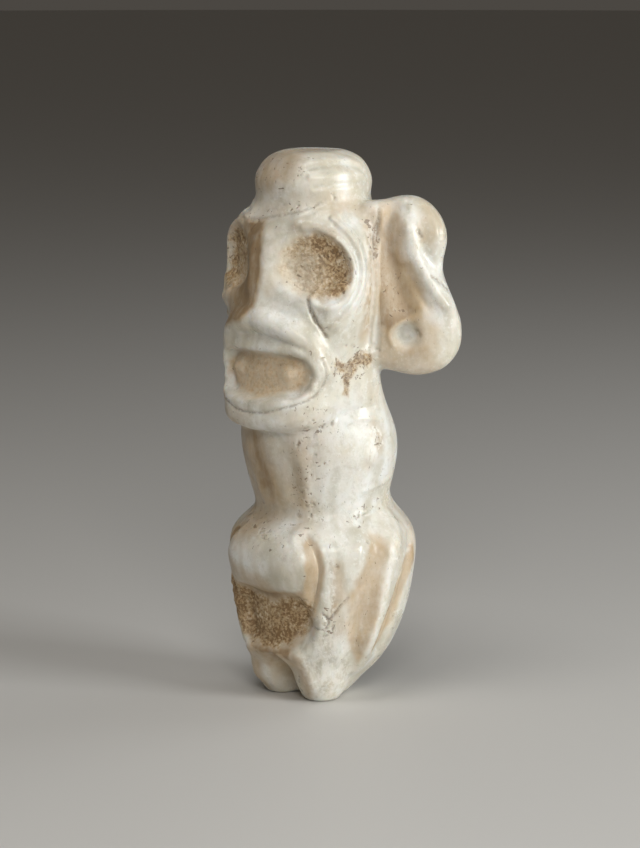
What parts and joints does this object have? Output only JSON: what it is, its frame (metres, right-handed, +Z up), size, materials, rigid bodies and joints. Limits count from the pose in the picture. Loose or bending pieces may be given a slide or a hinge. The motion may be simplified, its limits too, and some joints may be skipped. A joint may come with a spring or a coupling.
{
  "type": "stone zemi idol",
  "caption": "Small crouching spirit figure carved in pale veined marble, with hollow eyes, an open mouth, broad swept-back ears and a flat crown, standing on its flattened feet",
  "frame": {"origin": "middle of the bounding box in X and Y, at the level of the flat underside, metres", "axes": "+Z up from the underside to the crown, -Y is the way the face looks, X across the figure"},
  "size_m": [0.0492, 0.0338, 0.097],
  "materials": {
    "stone": "satin"
  },
  "bodies": {
    "root": {"idol": "stone"}
  },
  "joints": []
}
